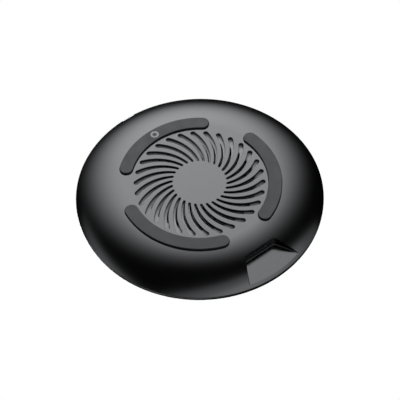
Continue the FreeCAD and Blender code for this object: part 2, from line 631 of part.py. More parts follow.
# ---- fan ---------------------------------------------------------------------------------
def fan_frame():
    """The slitted guard, its ring, three pillars with ears, and the arms that hold the base."""
    slit = prism(sliver(SLIT_R, SLIT_DEG, SLIT_W), FLOOR_Z - BEYOND, FLOOR_Z + BEYOND)
    slits = [turned(slit, k * 360 / SLOTS) for k in range(SLOTS)]
    guard = ring(GUARD_R, FLOOR_Z, FLOOR_Z + GUARD_T).cut(slits)
    pieces = [guard, ring(FAN_RING_R, FLOOR_Z, FLOOR_Z + FAN_RING_T)]
    pieces += [disc(BASE_R, BASE_Z, FAN_TOP), disc(TUBE_R, TUBE_Z, BASE_Z)]
    for deg, at in zip(FEET.values(), FAN_SCREWS_AT):
        ear = block((PILLAR_R[1] - WALL, FOOT_MID_R), (-EAR_R, EAR_R), (EAR_Z, EAR_Z + EAR_T))
        pillar = block(PILLAR_R, (-PILLAR_HALF_W, PILLAR_HALF_W), (FLOOR_Z, FAN_TOP))
        arm = block((TUBE_R, PILLAR_R[1]), (-ARM_HALF_W, ARM_HALF_W), (BASE_Z, FAN_TOP))
        pieces += [turned(piece, deg) for piece in (ear, pillar, arm)]
        pieces.append(disc(EAR_R, EAR_Z, EAR_Z + EAR_T, at))
    tools = [hole(BEARING_R, BASE_Z)] + [hole(EAR_HOLE_R, FAN_TOP, at) for at in FAN_SCREWS_AT]
    return merged(pieces).cut(tools)


def fan_screws():
    top, tip = EAR_Z + EAR_T, FLOOR_Z - FAN_SCREW_BITE
    return group(screw(at, top, tip, FAN_HEAD_R, FAN_HEAD_H, FAN_SCREW_R) for at in FAN_SCREWS_AT)


def fan_impeller():
    cup = disc(HUB_R, HUB_Z, HUB_Z + HUB_H).cut(
        [disc(YOKE_R, CUP_Z, CUP_Z + BEYOND), hole(SHAFT_R, CUP_Z + BEYOND)]
    )
    blade = prism(sliver(BLADE_R, BLADE_DEG, BLADE_W), HUB_Z + BLADE_LOW, HUB_Z + BLADE_HIGH)
    return merged([cup] + [turned(blade, k * 360 / BLADES) for k in range(BLADES)])


def fan_yoke():
    return ring((YOKE_R - YOKE_T, YOKE_R), CUP_Z, CUP_TOP_Z)


def fan_magnet():
    outer = YOKE_R - YOKE_T
    return ring((outer - MAGNET_T, outer), CUP_Z + MAGNET_LIFT, CUP_TOP_Z)


def fan_shaft():
    return disc(SHAFT_R, HUB_Z, SHAFT_TOP_Z)


def fan_clip():
    """The snap washer that keeps the shaft in its bearing, slit on one side."""
    slit = block((0, CLIP_R + BEYOND), (-CLIP_SLIT / 2, CLIP_SLIT / 2), (CLIP_Z, CLIP_Z + CLIP_T))
    return ring((SHAFT_R, CLIP_R), CLIP_Z, CLIP_Z + CLIP_T).cut(slit)


def fan_bearing():
    return ring((SHAFT_R + BEARING_CLEAR, BEARING_R), TUBE_Z, CLIP_Z - RUN_GAP)


def fan_stator():
    """The laminated core: a ring with teeth that end in curved shoes."""
    top = CORE_Z + CORE_T
    far = SHOE_R[1] + BEYOND
    wedge = chain([Vector(), polar(far, -SHOE_HALF_DEG), polar(far, SHOE_HALF_DEG), Vector()])
    shoe = ring(SHOE_R, CORE_Z, top).common(prism(wedge, CORE_Z, top))
    middle_r = (TUBE_R + CORE_R) / 2
    bar = block((middle_r, sum(SHOE_R) / 2), (-TOOTH_HALF_W, TOOTH_HALF_W), (CORE_Z, top))
    tooth = merged([bar, shoe])
    core = ring((TUBE_R, CORE_R), CORE_Z, top)
    return merged([core] + [turned(tooth, k * 360 / POLES) for k in range(POLES)])


def fan_windings():
    """A bobbin of copper round each tooth."""
    low, high = CORE_Z - WINDING_OVER, CORE_Z + CORE_T + WINDING_OVER
    bobbin = block(WINDING_R, (-WINDING_HALF_W, WINDING_HALF_W), (low, high))
    along = [e for e in bobbin.Edges if e.BoundBox.XLength > WINDING_ROUND]
    along = [e for e in along if e.BoundBox.YLength + e.BoundBox.ZLength < WINDING_ROUND]
    tooth = block((0, SHOE_R[1]), (-TOOTH_HALF_W, TOOTH_HALF_W), (CORE_Z, CORE_Z + CORE_T))
    bobbin = bobbin.makeFillet(WINDING_ROUND, along).cut(tooth)
    return group(turned(bobbin, k * 360 / POLES) for k in range(POLES))


def fan_board():
    return ring(FAN_BOARD_R, BASE_Z - FAN_BOARD_T, BASE_Z)


def fan_leads():
    """Two leads, from the motor's base out over the frame and down to the plug under the board."""
    start, dip, level = LEAD_RUN_R
    end = PLUG_MID_R - PLUG_W / 2
    route = [(start, LEAD_TOP_Z), (dip, LEAD_TOP_Z), (level, LEAD_LOW_Z), (end, LEAD_LOW_Z)]
    return lead_pair(route, LEAD_SPREAD, LEAD_R, LEAD_BEND, PLUG_DEG)


# ---- everything --------------------------------------------------------------------------
SUB_PARTS = (
    lower_shell, foot_tapes, housing_screws, light_guide,
    upper_frame, top_panel, panel_tape, grip_ring,
    ferrite_sheet, coil_tape, charging_coil, coil_leads, thermistor, thermistor_leads,
    main_board, board_screws, port_shell, port_tongue, port_contacts, status_lamps,
    fan_socket, fan_plug, fan_frame, fan_screws, fan_impeller, fan_yoke, fan_magnet,
    fan_shaft, fan_clip, fan_bearing, fan_stator, fan_windings, fan_board, fan_leads,
)


def main():
    os.makedirs("parts", exist_ok=True)
    shapes = {make.__name__: make() for make in SUB_PARTS}
    shapes.update({name: foot(deg) for name, deg in FEET.items()})
    shapes.update({name: components(size, True) for name, size in COMPONENTS_ON_TOP.items()})
    shapes.update({name: components(size, False) for name, size in COMPONENTS_BELOW.items()})
    for name, shape in shapes.items():
        print(f"{name}: {len(shape.Solids)} solids, {shape.Volume:.2f} mm3, valid {shape.isValid()}")
        shape.exportStep(f"parts/{name}.step")


main()
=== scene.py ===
import bmesh
import bpy
import json
import math

from mathutils import Matrix, Vector

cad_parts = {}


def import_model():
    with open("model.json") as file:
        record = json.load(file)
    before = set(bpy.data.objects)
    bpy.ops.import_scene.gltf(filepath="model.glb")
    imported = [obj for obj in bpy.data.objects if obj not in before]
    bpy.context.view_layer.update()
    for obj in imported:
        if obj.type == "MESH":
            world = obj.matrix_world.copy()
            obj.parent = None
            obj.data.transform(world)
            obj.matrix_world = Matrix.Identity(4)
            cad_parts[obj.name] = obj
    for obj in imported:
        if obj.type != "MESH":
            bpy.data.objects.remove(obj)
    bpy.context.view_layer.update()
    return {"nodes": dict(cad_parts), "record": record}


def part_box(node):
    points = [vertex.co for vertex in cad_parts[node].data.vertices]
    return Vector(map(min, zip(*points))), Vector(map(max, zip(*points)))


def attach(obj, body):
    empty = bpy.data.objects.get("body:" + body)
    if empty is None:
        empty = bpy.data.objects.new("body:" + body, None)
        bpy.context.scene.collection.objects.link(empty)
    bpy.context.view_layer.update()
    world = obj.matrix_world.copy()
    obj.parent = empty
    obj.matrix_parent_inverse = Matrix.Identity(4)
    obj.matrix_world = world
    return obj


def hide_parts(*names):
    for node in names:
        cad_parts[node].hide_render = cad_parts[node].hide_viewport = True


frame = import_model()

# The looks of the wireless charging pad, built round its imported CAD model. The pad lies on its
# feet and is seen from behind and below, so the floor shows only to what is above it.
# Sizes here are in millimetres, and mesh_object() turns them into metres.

MM = 0.001
X, Z = 0, 2


# ---- sizes, from the frame where it has them, otherwise as in part.py ---------------------
def low(node, axis):
    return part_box(node)[0][axis] / MM


def high(node, axis):
    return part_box(node)[1][axis] / MM


# the shell: a flat middle, and a side that is an arc in section, up to an upright lip
PAD_R = high("upper_frame", X)
SHELL_R, LIP_Z = high("lower_shell", X), high("lower_shell", Z)
UNDERSIDE_Z = low("lower_shell", Z)
INSIDE_Z = low("fan_frame", Z)     # the fan's frame stands on the shell's bottom wall
WALL = INSIDE_Z - UNDERSIDE_Z
LIP = 0.1
FLAT_R = 29.2
CURVE_RISE = LIP_Z - LIP - UNDERSIDE_Z
CURVE_R = ((SHELL_R - FLAT_R) ** 2 + CURVE_RISE**2) / (2 * CURVE_RISE)
CURVE_Z = UNDERSIDE_Z + CURVE_R

# a slot's middle line and width, at its inner end, middle and outer end
SLOTS = 30
SLOT_R = (11.25, 18.36, 25.35)
SLOT_DEG = (27.97, 14.97, 1.14)
SLOT_W = (1.05, 1.54, 2.02)
SLOT_ROUND = 0.05

FEET = {"foot_front": -90.0, "foot_right": 30.0, "foot_left": 150.0}
FOOT_MID_R, FOOT_W, FOOT_HALF_DEG = 30.25, 5.5, 39.6
FOOT_TOP_Z = high("foot_front", Z)
FOOT_ROUND, GROOVE_CLEAR = 0.32, 0.1
GROOVE_Z = high("foot_tapes", Z)

BAY_BACK_Y, BAY_HALF_W, BAY_FLARE = 38.2, 7.1, 0.575
BAY_ROOF_Z, BAY_ROOF_DROP, BAY_MOUTH_Y, BAY_ROOF_ROUND = 7.25, 0.55, 49.3, 0.4
BAY_WALL, BAY_ROOF_T, BAY_CORNER = 1.4, 0.65, 1.6
BAY_STEPS = 8              # the faces round each of the bay's back corners
PORT_CLEAR = 0.15
WINDOW_HALF_W, WINDOW_Z, WINDOW_BACK_Y, WINDOW_CLEAR = 2.8, 7.55, -44.2, 0.05

EDGE_ROUND = 0.12          # on the shell's edges, apart from the slots'
SHELL_SMOOTH, FOOT_SMOOTH = 25, 40     # edges that turn by more degrees than this stay sharp
ON_BOWL = 0.006            # how far from the bowl's surface a vertex still counts as on it
BOWL_TURN = math.radians(8)            # how far a face on it may turn from its exact normal
BEYOND = 5.0               # how far a cutter reaches past what it cuts
MARK_R, MARK_LINE, MARK_SOFT = 1.3, 0.8, 0.05      # the front foot's ring, and its line's edge

# ---- camera and light --------------------------------------------------------------------
VIEW_TURN = 36.7           # from the row's +X to the picture's right, in degrees
VIEW_BELOW = 53.54         # how far below the horizon the camera is
VIEW_ROLL = -0.93          # how far the camera is turned about its own axis
VIEW_DISTANCE = 551.15
VIEW_TARGET = (0.05, 3.53)     # where the camera points, right of and nearer than the pad's axis
VIEW_LENS = 123.4
SENSOR_W = 36.0
CLIP = (0.01, 20.0)            # the nearest and furthest that the camera sees, in metres
TO_ROW = Matrix.Rotation(math.radians(VIEW_TURN), 3, "Z")      # from the picture's plan
LAMP_DISTANCE = 900.0
LAMP_TINT = (0.965, 0.985, 1.02)
WORLD_SEEN, WORLD_LIGHT = 1.0, 0.003


# ---- mesh helpers ------------------------------------------------------------------------
def mesh_object(name, verts, faces):
    mesh = bpy.data.meshes.new(name)
    mesh.from_pydata([Vector(v) * MM for v in verts], [], faces)
    mesh.update()
    made = bpy.data.objects.new(name, mesh)
    bpy.context.scene.collection.objects.link(made)
    return made


def stack(name, loops, top=None):
    """A closed solid through loops of equal length, each anticlockwise seen from the last one.

    The last loop is closed by one face, or by the faces that top lists.
    """
    count = len(loops[0])
    verts = [point for loop in loops for point in loop]
    faces = [tuple(reversed(range(count)))]
    for level in range(len(loops) - 1):
        base = level * count
        for k in range(count):
            nxt = (k + 1) % count
            faces.append((base + k, base + nxt, base + count + nxt, base + count + k))
    last = (len(loops) - 1) * count
    faces += [tuple(last + k for k in face) for face in top or [range(count)]]
    return mesh_object(name, verts, faces)


def revolved(name, profile, segments=288):
    """A closed solid of revolution. Its profile starts and ends on the axis, low end first."""
    verts, rows, faces = [], [], []
    for r, z in profile:
        if r == 0:
            rows.append([len(verts)])
            verts.append((0, 0, z))
        else:
            rows.append(list(range(len(verts), len(verts) + segments)))
            verts += [polar(r, 360 * k / segments, z) for k in range(segments)]
    for a, b in zip(rows, rows[1:]):
        for k in range(segments):
            nxt = (k + 1) % segments
            if len(a) == 1:
                faces.append((a[0], b[nxt], b[k]))
            elif len(b) == 1:
                faces.append((a[k], a[nxt], b[0]))
            else:
                faces.append((a[k], a[nxt], b[nxt], b[k]))
    return mesh_object(name, verts, faces)


def polar(r, deg, z=0.0):
    a = math.radians(deg)
    return (r * math.cos(a), r * math.sin(a), z)


def in_plan(r, deg):
    """The point at that radius and angle, as a vector with no height."""
    return Vector(polar(r, deg)[:2])


def quarter_turn(steps):
    return [math.pi / 2 * k / steps for k in range(steps + 1)]


def at_height(outline, z):
    return [(x, y, z) for x, y, *_ in outline]


def joined(name, parts):
    """One object from several, which are removed."""
    verts, faces = [], []
    for part in parts:
        base = len(verts)
        verts += [v.co / MM for v in part.data.vertices]
        faces += [tuple(base + i for i in face.vertices) for face in part.data.polygons]
        bpy.data.objects.remove(part)
    return mesh_object(name, verts, faces)


def apply_modifiers(obj):
    """Makes the result of an object's modifiers its mesh."""
    bpy.context.view_layer.update()
    evaluated = obj.evaluated_get(bpy.context.evaluated_depsgraph_get())
    result = bpy.data.meshes.new_from_object(evaluated)
    obj.modifiers.clear()
    obj.data = result


def cut_away(obj, tool):
    """Cuts tool from obj, and removes tool."""
    cut = obj.modifiers.new("cut", "BOOLEAN")
    cut.operation, cut.solver, cut.object = "DIFFERENCE", "EXACT", tool
    apply_modifiers(obj)
    bpy.data.objects.remove(tool)


def smooth(obj, degrees):
    """Shades smooth, apart from edges that turn by more than that.

    Large faces count for more than small ones, so that roundings don't bend the flats' shading.
    """
    limit = math.radians(degrees)
    bm = bmesh.new()
    bm.from_mesh(obj.data)
    for face in bm.faces:
        face.smooth = True
    for edge in bm.edges:
        edge.smooth = len(edge.link_faces) == 2 and edge.calc_face_angle() < limit
    bm.to_mesh(obj.data)
    bm.free()
    weighted = obj.modifiers.new("weighted", "WEIGHTED_NORMAL")
    weighted.keep_sharp, weighted.weight = True, 100
    apply_modifiers(obj)


def round_edges(obj, width, degrees=50, segments=2, merge=2e-3, shortest=1e-3):
    """Merges the cuts' stray vertices, and rounds the edges that turn by more than degrees."""
    limit = math.radians(degrees)
    bm = bmesh.new()
    bm.from_mesh(obj.data)
    bmesh.ops.remove_doubles(bm, verts=bm.verts, dist=merge * MM)
    bmesh.ops.dissolve_degenerate(bm, edges=bm.edges, dist=shortest * MM)
    sharp = [e for e in bm.edges if len(e.link_faces) == 2 and e.calc_face_angle() > limit]
    bmesh.ops.bevel(
        bm, geom=sharp, offset=width * MM, offset_type="OFFSET", segments=segments,
        profile=0.5, affect="EDGES", clamp_overlap=True,
    )
    bm.to_mesh(obj.data)
    bm.free()


def finished(obj, body, material, node):
    """Gives a piece its material and body, and hides the CAD node that it stands for."""
    obj.data.materials.clear()
    obj.data.materials.append(material)
    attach(obj, body)
    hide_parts(node)


# ---- outlines ----------------------------------------------------------------------------
def circle_through(a, b, c):
    """Centre of the circle through three points of a plane."""
    (ax, ay), (bx, by), (cx, cy) = a, b, c
    d = 2 * (ax * (by - cy) + bx * (cy - ay) + cx * (ay - by))
    aa, bb, cc = ax * ax + ay * ay, bx * bx + by * by, cx * cx + cy * cy
    x = (aa * (by - cy) + bb * (cy - ay) + cc * (ay - by)) / d
    y = (aa * (cx - bx) + bb * (ax - cx) + cc * (bx - ax)) / d
    return Vector((x, y))


def sliver(radii, angles, widths, grow, steps=18, end_steps=8):
    """The outline of a curved slot, grown all round, anticlockwise from above."""
    first, middle, last = [in_plan(r, deg) for r, deg in zip(radii, angles)]
    centre = circle_through(first, middle, last)
    start = math.atan2(*reversed(first - centre))
    turn = math.remainder(math.atan2(*reversed(last - centre)) - start, 2 * math.pi)
    radius = (first - centre).length

    def station(t):
        a = start + turn * t
        out = Vector((math.cos(a), math.sin(a)))
        width = widths[0] + (widths[1] - widths[0]) * min(1, 2 * t)
        width += (widths[2] - widths[1]) * max(0, 2 * t - 1)
        return centre + out * radius, out, width / 2 + grow

    sense = math.copysign(1, turn)
    stations = [station(k / steps) for k in range(steps + 1)]
    points = [p + out * w for p, out, w in stations]
    points += round_end(stations[-1], sense, end_steps)
    points += [p - out * w for p, out, w in reversed(stations)]
    points += round_end(stations[0], -sense, end_steps, from_inside=True)
    return points if sense > 0 else points[::-1]


def round_end(end, sense, steps, from_inside=False):
    """The points of a half circle about a bar's end, without the circle's own two ends.

    end is the bar's middle there, its outward direction and its half width.
    """
    point, out, half = end
    along = Vector((-out.y, out.x)) * sense
    side = -out if from_inside else out
    return [
        point + (side * math.cos(t) + along * math.sin(t)) * half
        for t in (math.pi * k / steps for k in range(1, steps))
    ]


def bow(deg, grow, steps=56, end_steps=14):
    """A foot's outline, an arc-shaped bar with round ends, grown all round."""
    half_w = FOOT_W / 2 + grow
    start, end = deg - FOOT_HALF_DEG, deg + FOOT_HALF_DEG
    angles = [start + (end - start) * k / steps for k in range(steps + 1)]
    first, last = [(in_plan(FOOT_MID_R, a), in_plan(1, a), half_w) for a in (start, end)]
    points = [in_plan(FOOT_MID_R + half_w, a) for a in angles]
    points += round_end(last, 1, end_steps)
    points += [in_plan(FOOT_MID_R - half_w, a) for a in reversed(angles)]
    return points + round_end(first, -1, end_steps, from_inside=True)


def bay_outline(grow, corner, steps=BAY_STEPS):
    """The flared bay seen from above, grown all round, with its two back corners rounded.

    From its right corner's steps + 1 points it goes on to the roof's mouth on the right, the two
    far corners, the roof's mouth on the left, and the left corner's points.
    """
    back, far = BAY_BACK_Y - grow, PAD_R + BEYOND
    half_back = BAY_HALF_W + grow * (math.hypot(1, BAY_FLARE) - BAY_FLARE)
    slant = math.atan(BAY_FLARE)
    reach = corner * math.tan((math.pi / 2 - slant) / 2)
    centre = Vector((half_back - reach, back + corner))
    sweep = [-math.pi / 2 + (math.pi / 2 - slant) * k / steps for k in range(steps + 1)]
    right = [centre + Vector((math.cos(a), math.sin(a))) * corner for a in sweep]
    right += [Vector((half_back + BAY_FLARE * (y - back), y)) for y in (BAY_MOUTH_Y, far)]
    return right + [Vector((-p.x, p.y)) for p in reversed(right)]


# ---- lower shell and feet ----------------------------------------------------------------
def bowl_profile(inset, top_z, steps=44):
    """The section inside the shell's curve, or inset from it, up to top_z."""
    radius = CURVE_R - inset
    end_turn = math.acos((CURVE_Z - (LIP_Z - LIP)) / radius)
    turns = [end_turn * k / steps for k in range(steps + 1)]
    curve = [(FLAT_R + radius * math.sin(t), CURVE_Z - radius * math.cos(t)) for t in turns]
    start_z = UNDERSIDE_Z + inset
    return [(0, start_z), (FLAT_R / 2, start_z), *curve, (curve[-1][0], top_z), (0, top_z)]


def true_normals(obj):
    """Gives the bowl's outer surface its exact normals, so that the cuts leave no ripples in it."""
    mesh, exact = obj.data, {}
    for vertex in mesh.vertices:
        x, y, z = vertex.co / MM
        r = max(math.hypot(x, y), ON_BOWL)
        turn = math.asin(min(1.0, max(0.0, (r - FLAT_R) / CURVE_R)))
        if abs(CURVE_Z - CURVE_R * math.cos(turn) - z) < ON_BOWL:
            out = math.sin(turn) / r
            exact[vertex.index] = Vector((x * out, y * out, -math.cos(turn)))
    normals = [corner.vector.copy() for corner in mesh.corner_normals]
    nearly = math.cos(BOWL_TURN)
    for face in mesh.polygons:
        if all(k in exact and exact[k].dot(face.normal) > nearly for k in face.vertices):
            for k in face.loop_indices:
                normals[k] = exact[mesh.loops[k].vertex_index]
    mesh.normals_split_custom_set(normals)


def slot_tool(k, steps=5):
    """The cutter of a swirl slot, whose edge in the underside is broken."""
    angles = [deg + 360 * k / SLOTS for deg in SLOT_DEG]
    levels = [(UNDERSIDE_Z - SLOT_ROUND, SLOT_ROUND)]
    levels += [
        (UNDERSIDE_Z + SLOT_ROUND * math.sin(t), SLOT_ROUND * (1 - math.sin(t)))
        for t in quarter_turn(steps)
    ]
    levels.append((INSIDE_Z + SLOT_ROUND, 0.0))
    return stack("slot", [at_height(sliver(SLOT_R, angles, SLOT_W, grow), z) for z, grow in levels])


def groove_tool(deg):
    outline = bow(deg, GROOVE_CLEAR)
    return stack("groove", [at_height(outline, z) for z in (-BEYOND, GROOVE_Z)])


def window_tool():
    """The cutter of the notch in the rim that the light guide stands in."""
    half, outside_y = WINDOW_HALF_W + WINDOW_CLEAR, -PAD_R - BEYOND
    outline = [(-half, outside_y), (half, outside_y), (half, WINDOW_BACK_Y), (-half, WINDOW_BACK_Y)]
    levels = (WINDOW_Z - WINDOW_CLEAR, LIP_Z + BEYOND)
    return stack("window", [at_height(outline, z) for z in levels])


def bay_tool(steps=6):
    """The bay's cutter. Its roof slopes down inwards from its mouth, and its edges are rounded."""
    def roof(y):
        return BAY_ROOF_Z - BAY_ROOF_DROP * max(0, BAY_MOUTH_Y - y) / (BAY_MOUTH_Y - BAY_BACK_Y)

    loops = [at_height(bay_outline(0.0, BAY_CORNER), -BEYOND)]
    for turn in quarter_turn(steps):
        inset, drop = BAY_ROOF_ROUND * (1 - math.cos(turn)), BAY_ROOF_ROUND * (1 - math.sin(turn))
        outline = bay_outline(-inset, BAY_CORNER - inset)
        loops.append([(p.x, p.y, roof(p.y) - drop) for p in outline])
    mouth, count = BAY_STEPS + 1, len(loops[0])
    sloping = [*range(mouth + 1), *range(count - 1 - mouth, count)]
    return stack("bay", loops, [sloping, [mouth, mouth + 1, count - 2 - mouth, count - 1 - mouth]])


def port_tool(steps=12):
    """The round-sided hole in the bay's back wall round the port."""
    middle_z = (high("port_shell", Z) + low("port_shell", Z)) / 2
    r = high("port_shell", Z) - middle_z + PORT_CLEAR
    flat = high("port_shell", X) + PORT_CLEAR - r
    turns = [math.pi * k / steps for k in range(steps + 1)]
    section = [(flat + r * math.sin(t), middle_z - r * math.cos(t)) for t in turns]
    section += [(-x, 2 * middle_z - z) for x, z in section]
    ends = (BAY_BACK_Y + BEYOND, BAY_BACK_Y - BEYOND)
    return stack("port_hole", [[(x, y, z) for x, z in section] for y in ends])


def lower_shell(material):
    """The bowl, less its cavity, which leaves a wall round the bay, and less its openings."""
    cavity = revolved("cavity", bowl_profile(WALL, LIP_Z + BEYOND))
    around = bay_outline(BAY_WALL, BAY_CORNER + BAY_WALL)
    levels = (-BEYOND, BAY_ROOF_Z + BAY_ROOF_T)
    cut_away(cavity, stack("bay_walls", [at_height(around, z) for z in levels]))
    shell = revolved("shell", bowl_profile(0.0, LIP_Z))
    grooves = joined("grooves", [groove_tool(deg) for deg in FEET.values()])
    for tool in (cavity, bay_tool(), window_tool(), port_tool(), grooves):
        cut_away(shell, tool)
    round_edges(shell, EDGE_ROUND)
    cut_away(shell, joined("slots", [slot_tool(k) for k in range(SLOTS)]))
    smooth(shell, SHELL_SMOOTH)
    true_normals(shell)
    finished(shell, "pad", material, "lower_shell")


def foot(name, deg, material, steps=6):
    """A rubber foot, whose lower edge is rounded."""
    levels = [
        (FOOT_ROUND * (1 - math.sin(t)), -FOOT_ROUND * (1 - math.cos(t)))
        for t in reversed(quarter_turn(steps))
    ]
    levels.append((FOOT_TOP_Z, 0.0))
    piece = stack(name, [at_height(bow(deg, grow), z) for z, grow in levels])
    smooth(piece, FOOT_SMOOTH)
    finished(piece, "pad", material, name)


# ---- materials ---------------------------------------------------------------------------
BLACK, RUBBER = (0.0004, 0.0004, 0.00045), (0.005, 0.005, 0.005)
MARK_COLOR = (0.16, 0.16, 0.165)
PATCH_NOISE = (0.32, 0.68)         # between these, the patches turn from one shade to the other
OTHER_SHADE, MARKED_SHADE = 1.25, 0.9      # a second shade, and the marked foot's, to the first
BAND_SHADE, BAND_MIX = 0.55, 0.5   # the bands' shade, and how much of it shows
GRAIN_STRENGTH, BAND_STRENGTH = 0.6, 0.8
WAVE_PERIOD = 2 * math.pi / 20     # of a wave texture at scale 1
ROUND_Z, ALONG_Z, ALONG_X = "RINGS", "Z", "X"


def maths(tree, operation, *values):
    """The result of a math node, whose values are numbers or sockets."""
    made = tree.nodes.new("ShaderNodeMath")
    made.operation = operation
    for socket, value in zip(made.inputs, values):
        if isinstance(value, (int, float)):
            socket.default_value = value
        else:
            tree.links.new(value, socket)
    return made.outputs[0]


class Paint:
    """A material's node tree, with short calls for the nodes that are used here."""

    def __init__(self, name, color, rough, metal=0.0):
        self.material = bpy.data.materials.new(name)
        self.material.use_nodes = True
        self.tree = self.material.node_tree
        self.shader = self.tree.nodes["Principled BSDF"]
        self.set("Base Color", (*color, 1.0))
        self.set("Roughness", rough)
        self.set("Metallic", metal)
        self.place = self.node("ShaderNodeTexCoord").outputs["Object"]

    def node(self, kind, **settings):
        made = self.tree.nodes.new(kind)
        for key, value in settings.items():
            setattr(made, key, value)
        return made

    def link(self, source, target):
        self.tree.links.new(source, target)

    def set(self, socket, value):
        self.shader.inputs[socket].default_value = value

    def noise(self, size, detail, stretch=(1, 1, 1)):
        """Noise whose lumps are about that many millimetres across."""
        spread = self.node("ShaderNodeMapping")
        self.link(self.place, spread.inputs["Vector"])
        spread.inputs["Scale"].default_value = [s / (size * MM) for s in stretch]
        made = self.node("ShaderNodeTexNoise")
        self.link(spread.outputs["Vector"], made.inputs["Vector"])
        made.inputs["Scale"].default_value = 1.0
        made.inputs["Detail"].default_value = detail
        return made.outputs["Fac"]

    def bands(self, period, kind, waver):
        """Waves from 0 to 1 that repeat every so many millimetres, round the Z axis or along one."""
        made = self.node("ShaderNodeTexWave")
        if kind == ROUND_Z:
            made.wave_type, made.rings_direction = "RINGS", "Z"
        else:
            made.wave_type, made.bands_direction = "BANDS", kind
        self.link(self.place, made.inputs["Vector"])
        made.inputs["Scale"].default_value = WAVE_PERIOD / (period * MM)
        made.inputs["Distortion"].default_value = waver
        return made.outputs["Fac"]

    def between(self, value, low_in, high_in, low_out, high_out):
        """The value, moved from the first range to the second, and kept inside it."""
        made = self.node("ShaderNodeMapRange")
        self.link(value, made.inputs["Value"])
        numbers = {"From Min": low_in, "From Max": high_in, "To Min": low_out, "To Max": high_out}
        for socket, number in numbers.items():
            made.inputs[socket].default_value = number
        return made.outputs["Result"]

    def blend(self, factor, a, b):
        """Colour a where factor is 0, and b where it is 1. Each is a colour or a socket."""
        made = self.node("ShaderNodeMix", data_type="RGBA")
        self.link(factor, made.inputs["Factor"])
        for socket, color in zip((s for s in made.inputs if s.type == "RGBA"), (a, b)):
            if isinstance(color, tuple):
                socket.default_value = (*color, 1.0)
            else:
                self.link(color, socket)
        return next(s for s in made.outputs if s.type == "RGBA")

    def bump(self, height, distance, strength, under=None):
        """Bumps of that many millimetres, on top of an earlier bump if there is one."""
        made = self.node("ShaderNodeBump")
        made.inputs["Distance"].default_value = distance * MM
        made.inputs["Strength"].default_value = strength
        self.link(height, made.inputs["Height"])
        if under:
            self.link(under, made.inputs["Normal"])
        self.link(made.outputs["Normal"], self.shader.inputs["Normal"])
        return made.outputs["Normal"]


def shaded(color, factor):
    """The colour, made lighter or darker by that factor."""
    return tuple(c * factor for c in color)


def surface(
    name, color, rough, metal=0.0, *, other=None, patch=9.0, vary=0.04,
    grain=0.12, depth=0.004, stretch=(1, 1, 1), bands=None, **sockets
):
    """A material with patches of another shade and gloss, a fine grain, and bands if it has them.

    grain and patch are the sizes of the lumps, and depth is the height of the grain, all in
    millimetres. bands gives their period in millimetres, direction, height in millimetres and
    waver. vary is how far the gloss goes either way, and sockets are the shader's own.
    """
    paint = Paint(name, color, rough, metal)
    patches = paint.between(paint.noise(patch, 3.0), *PATCH_NOISE, 0.0, 1.0)
    shades = paint.blend(patches, color, other or shaded(color, OTHER_SHADE))
    gloss = paint.between(patches, 0.0, 1.0, rough - vary, rough + vary)
    relief = paint.bump(paint.noise(grain, 2.0, stretch), depth, GRAIN_STRENGTH)
    if bands:
        period, kind, height, waver = bands
        wave = paint.bands(period, kind, waver)
        part = maths(paint.tree, "MULTIPLY", wave, BAND_MIX)
        shades = paint.blend(part, shades, shaded(color, BAND_SHADE))
        paint.bump(wave, height, BAND_STRENGTH, relief)
    paint.link(shades, paint.shader.inputs["Base Color"])
    paint.link(gloss, paint.shader.inputs["Roughness"])
    for socket, value in sockets.items():
        paint.set(socket.replace("_", " "), value)
    paint.shades = shades
    return paint


